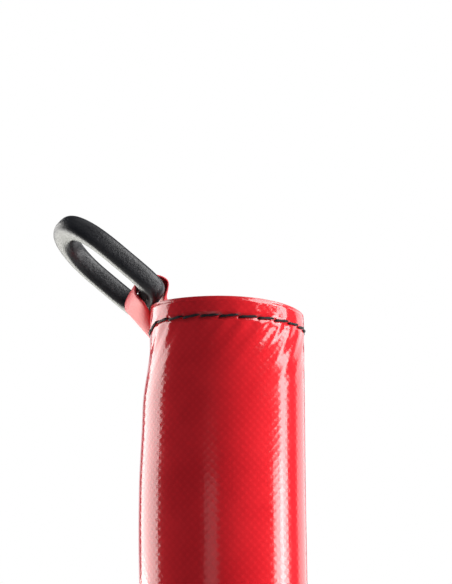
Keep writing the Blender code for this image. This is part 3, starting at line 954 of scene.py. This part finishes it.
def sock_ring(turn, z, half_angle, inset, cols=96, folds=0.0):
    """A closed section of the sock: a round mouth that turns over into a limp flattened trunk."""
    angle = TAU * np.arange(cols) / cols
    ease = turn * math.pi / 2.0
    mouth_r = HOOP_R - inset
    half = math.radians(half_angle) - inset / SOCK_OUT_R
    middle = (SOCK_OUT_R + SOCK_IN_R) / 2.0
    thick = (SOCK_OUT_R - SOCK_IN_R) / 2.0 - inset
    hx = mouth_r * np.sin(angle)
    hz = HOOP_Z + mouth_r * np.cos(angle)
    side = half * np.sin(angle)
    waves = np.sin(7.0 * angle + z * 0.03) + 0.6 * np.sin(11.0 * angle - z * 0.05)
    ripple = folds * turn * waves * 0.22
    radius = middle + thick * signed_power(np.cos(angle), 0.6) + ripple
    tx = radius * np.sin(side)
    ty = radius * np.cos(side)
    x = hx + (tx - hx) * turn
    y = SOCK_START_Y + (ty - SOCK_START_Y) * math.sin(ease)
    height = hz + (z - hz) * (1.0 - math.cos(ease))
    return np.stack((x, y, height), -1)


def trunk_angle(z):
    share = (SOCK_TURN_Z - z) / (SOCK_TURN_Z - SOCK_TAIL_Z)
    return SOCK_WIDE + (SOCK_NARROW - SOCK_WIDE) * share


def whole_cells(girth):
    """The whole number of ripstop cells nearest to a girth, in millimetres."""
    return round(girth / GRID_PITCH) * GRID_PITCH


def cloth_band(name, outer, inner, material, node):
    points = np.array(outer + inner[::-1])
    middle = np.array(outer)
    length = float(np.linalg.norm(np.diff(middle, axis=0), axis=2).mean(1).sum())
    girth = float(np.linalg.norm(np.roll(middle, -1, axis=1) - middle, axis=2).sum(1).mean())
    mesh = grid_mesh(name, points, close_rows=True, size=(whole_cells(girth), 2.0 * length))
    slot = "white_ripstop" if "white" in material.name else "orange_ripstop"
    piece = finish_piece(mesh, material, "vane", slot, node)
    return piece, girth, length


def build_sock():
    orange = ripstop("orange_ripstop_cloth", (0.80, 0.16, 0.02))
    white = ripstop("white_ripstop_cloth", (0.66, 0.66, 0.63))
    steps = 14
    outer = [sock_ring(i / steps, SOCK_TURN_Z, SOCK_WIDE, 0.0, folds=1.0) for i in range(steps + 1)]
    inner = [sock_ring(i / steps, SOCK_TURN_Z, SOCK_WIDE, SOCK_T, folds=1.0) for i in range(steps + 1)]
    piece, girth, length = cloth_band("sock_cloth_1", outer, inner, orange, "sock_band_1")
    span = (SOCK_TURN_Z - SOCK_TAIL_Z) / (BANDS - 1)
    for number in range(2, BANDS + 1):
        top = SOCK_TURN_Z - span * (number - 2) - 0.1
        low = SOCK_TURN_Z - span * (number - 1)
        heights = np.linspace(top, low, 15)
        outer = []
        inner = []
        for i, z in enumerate(heights):
            lap = 0.14 if i < 2 or (i > 12 and number < BANDS) else 0.0
            outer.append(sock_ring(1.0, z, trunk_angle(z), -lap, folds=1.0))
            inner.append(sock_ring(1.0, z, trunk_angle(z), SOCK_T, folds=1.0))
        cloth = orange if number % 2 else white
        name = "sock_cloth_%d" % number
        piece, girth, length = cloth_band(name, outer, inner, cloth, "sock_band_%d" % number)

    build_tail_binding(orange)
    build_mouth_binding(orange)


def build_tail_binding(material):
    """A tape folded over the tail's edge, outside and inside."""
    fold = ((-0.75, 6.0), (-0.78, 3.0), (-0.75, 0.0), (-0.5, -0.6), (0.17, -0.9), (0.85, -0.6), (1.1, 0.0),
            (1.1, 4.5), (0.68, 4.5), (0.66, 0.2), (0.17, -0.12), (-0.32, 0.2), (-0.34, 3.0), (-0.3, 6.0))
    rows = []
    for inset, rise in fold:
        z = SOCK_TAIL_Z + rise
        rows.append(sock_ring(1.0, z, trunk_angle(z), inset, folds=1.0))
    girth = float(np.linalg.norm(np.roll(rows[1], -1, axis=0) - rows[1], axis=1).sum())
    mesh = grid_mesh("tail_binding", np.array(rows), close_rows=True, size=(whole_cells(girth), 24.0))
    piece = finish_piece(mesh, material, "vane", "orange_ripstop", "tail_hem")


def build_mouth_binding(material):
    near = WIRE_R + 0.3
    far = near + 0.55
    rows = []
    count = 144
    for i in range(count):
        angle = TAU * i / count
        out = np.array((math.sin(angle), 0.0, math.cos(angle)))
        pucker = 0.05 * math.sin(angle * 36.0)
        ring = []
        turns = [math.radians(90.0 - 126.0 + 18.0 * k) for k in range(15)]
        for reach, order in ((far + pucker, turns), (near, turns[::-1])):
            for t in order:
                point = out * (HOOP_R + reach * math.cos(t))
                point = point + np.array((0.0, HOOP_Y + reach * math.sin(t), HOOP_Z))
                ring.append(point)
        rows.append(ring)
    mesh = grid_mesh("hoop_binding", np.array(rows), close_rows=True, size=(18.0, 108.0))
    piece = finish_piece(mesh, material, "vane", "orange_ripstop", "mouth_binding")


# ---------------------------------------------------------------- scene

def main():
    bpy.context.scene.view_settings.view_transform = "Standard"
    add_camera()
    add_world()
    add_lights()
    add_floor()
    build_sleeve()
    build_base()
    fabric = coated_fabric("red_strap_fabric", (0.60, 0.012, 0.022), 0.5, 0.0)
    thread = thread_material("black_seam_thread")
    build_mouth_stitches()
    build_base_stitches(thread)
    build_seam(fabric, thread)
    build_ring()
    build_tab(fabric, thread)
    black = dress_pole()
    build_collars(black)
    build_grip()
    build_sock()


main()
